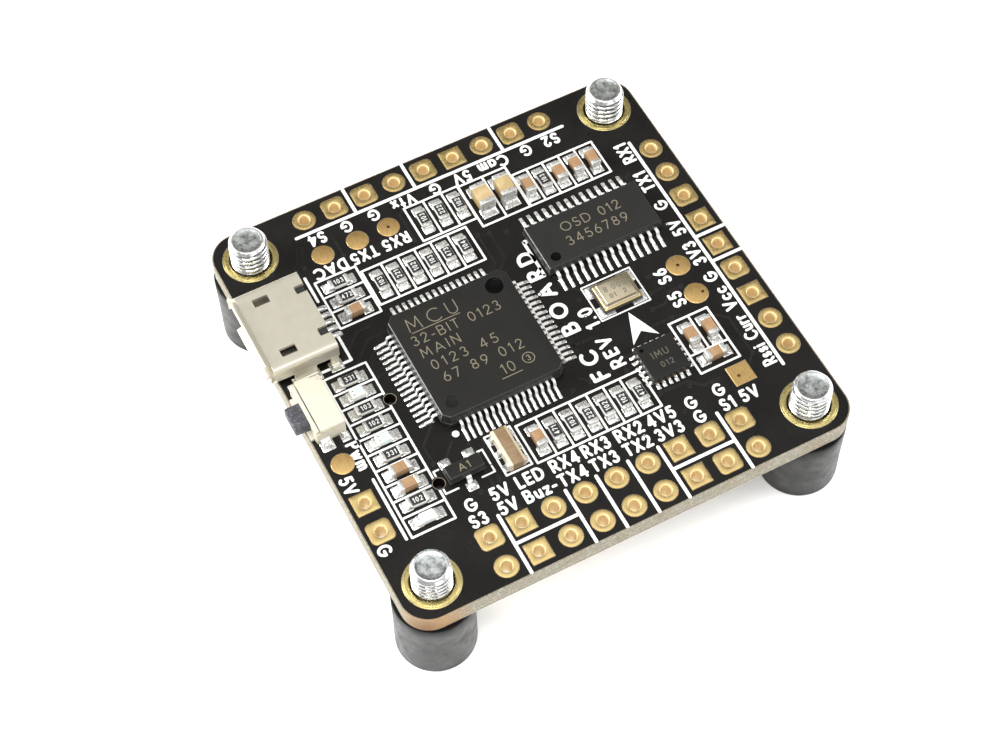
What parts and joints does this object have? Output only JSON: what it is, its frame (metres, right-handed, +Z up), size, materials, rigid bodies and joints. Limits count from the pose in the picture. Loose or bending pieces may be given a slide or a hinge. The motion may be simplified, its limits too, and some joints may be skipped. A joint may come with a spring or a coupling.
{
  "type": "flight controller board",
  "caption": "Square drone flight controller board with solder-pad edges, micro-USB port, side push button and rubber standoffs at the corners.",
  "frame": {"origin": "centre of the 30.5 x 30.5 mm hole pattern, on the plane that the rubber feet stand on", "axes": "+Z up, away from the feet; +Y is the flight direction that the printed arrow shows; -X is the side with the USB port and the button"},
  "size_m": [0.037, 0.0364, 0.0115],
  "materials": {
    "soldermask": "black gloss soldermask over copper",
    "gold": "immersion gold",
    "contact_gold": "gold-plated spring contact",
    "nickel": "satin nickel-plated sheet steel",
    "tin": "matte tin and solder",
    "spring_steel": "stainless spring strip",
    "zinc_steel": "bright zinc plate",
    "black_plastic": "moulded black LCP",
    "ivory_plastic": "moulded ivory plastic",
    "grey_plastic": "moulded dark grey plastic",
    "black_epoxy": "moulded black epoxy, laser marked",
    "crystal_rim": "gold-plated ceramic rim",
    "crystal_lid": "seam-welded metal lid",
    "resonator_ceramic": "tan ceramic",
    "resistor_black": "black glass overcoat on white ceramic",
    "capacitor_brown": "fired brown ceramic",
    "capacitor_tan": "fired tan ceramic",
    "led_white": "white carrier",
    "led_lens": "milky clear resin",
    "rubber": "matt black silicone rubber"
  },
  "bodies": {
    "board": {"pcb": "soldermask", "mount_rings": "gold", "round_pads": "gold", "square_pads": "gold", "rounded_pads": "gold", "test_pads": "gold", "usb_shell": "nickel", "usb_insulator": "black_plastic", "usb_contacts": "contact_gold", "button_base": "ivory_plastic", "button_cover": "ivory_plastic", "button_terminals": "tin", "button_dome": "spring_steel", "mcu_package": "black_epoxy", "mcu_leads": "tin", "osd_package": "black_epoxy", "osd_leads": "tin", "crystal_base": "crystal_rim", "crystal_lid": "crystal_lid", "resonator_body": "resonator_ceramic", "resonator_terminals": "tin", "imu_package": "black_epoxy", "imu_pads": "tin", "transistor_body": "black_epoxy", "transistor_leads": "tin", "resistor_bodies": "resistor_black", "resistor_terminals": "tin", "capacitor_bodies": "capacitor_brown", "capacitor_terminals": "tin", "bulk_capacitor_bodies": "capacitor_tan", "bulk_capacitor_terminals": "tin", "led_bases": "led_white", "led_lenses": "led_lens", "led_terminals": "tin", "microsd_shell": "nickel", "microsd_base": "black_plastic", "microsd_contacts": "contact_gold", "barometer_base": "black_epoxy", "barometer_lid": "nickel", "regulator_body": "black_epoxy", "regulator_leads": "tin"},
    "button": {"button_plunger": "grey_plastic"},
    "card_slider": {"microsd_slider": "ivory_plastic"},
    "standoff_front_left": {"damper_front_left": "rubber", "stud_front_left": "zinc_steel", "insert_front_left": "zinc_steel"},
    "standoff_front_right": {"damper_front_right": "rubber", "stud_front_right": "zinc_steel", "insert_front_right": "zinc_steel"},
    "standoff_rear_left": {"damper_rear_left": "rubber", "stud_rear_left": "zinc_steel", "insert_rear_left": "zinc_steel"},
    "standoff_rear_right": {"damper_rear_right": "rubber", "stud_rear_right": "zinc_steel", "insert_rear_right": "zinc_steel"}
  },
  "joints": [
    {"name": "button_press", "type": "slide", "parent": "board", "child": "button", "axis": [1, 0, 0], "range_m": [0, 0.00025], "stiffness_N_per_m": 6000, "springref_m": -0.00005},
    {"name": "card_slider_push", "type": "slide", "parent": "board", "child": "card_slider", "axis": [1, 0, 0], "range_m": [0, 0.0012], "stiffness_N_per_m": 600, "springref_m": -0.0003},
    {"name": "standoff_front_left_pull", "type": "slide", "parent": "board", "child": "standoff_front_left", "axis": [0, 0, 1], "range_m": [-0.006, 0]},
    {"name": "standoff_front_right_pull", "type": "slide", "parent": "board", "child": "standoff_front_right", "axis": [0, 0, 1], "range_m": [-0.006, 0]},
    {"name": "standoff_rear_left_pull", "type": "slide", "parent": "board", "child": "standoff_rear_left", "axis": [0, 0, 1], "range_m": [-0.006, 0]},
    {"name": "standoff_rear_right_pull", "type": "slide", "parent": "board", "child": "standoff_rear_right", "axis": [0, 0, 1], "range_m": [-0.006, 0]}
  ]
}
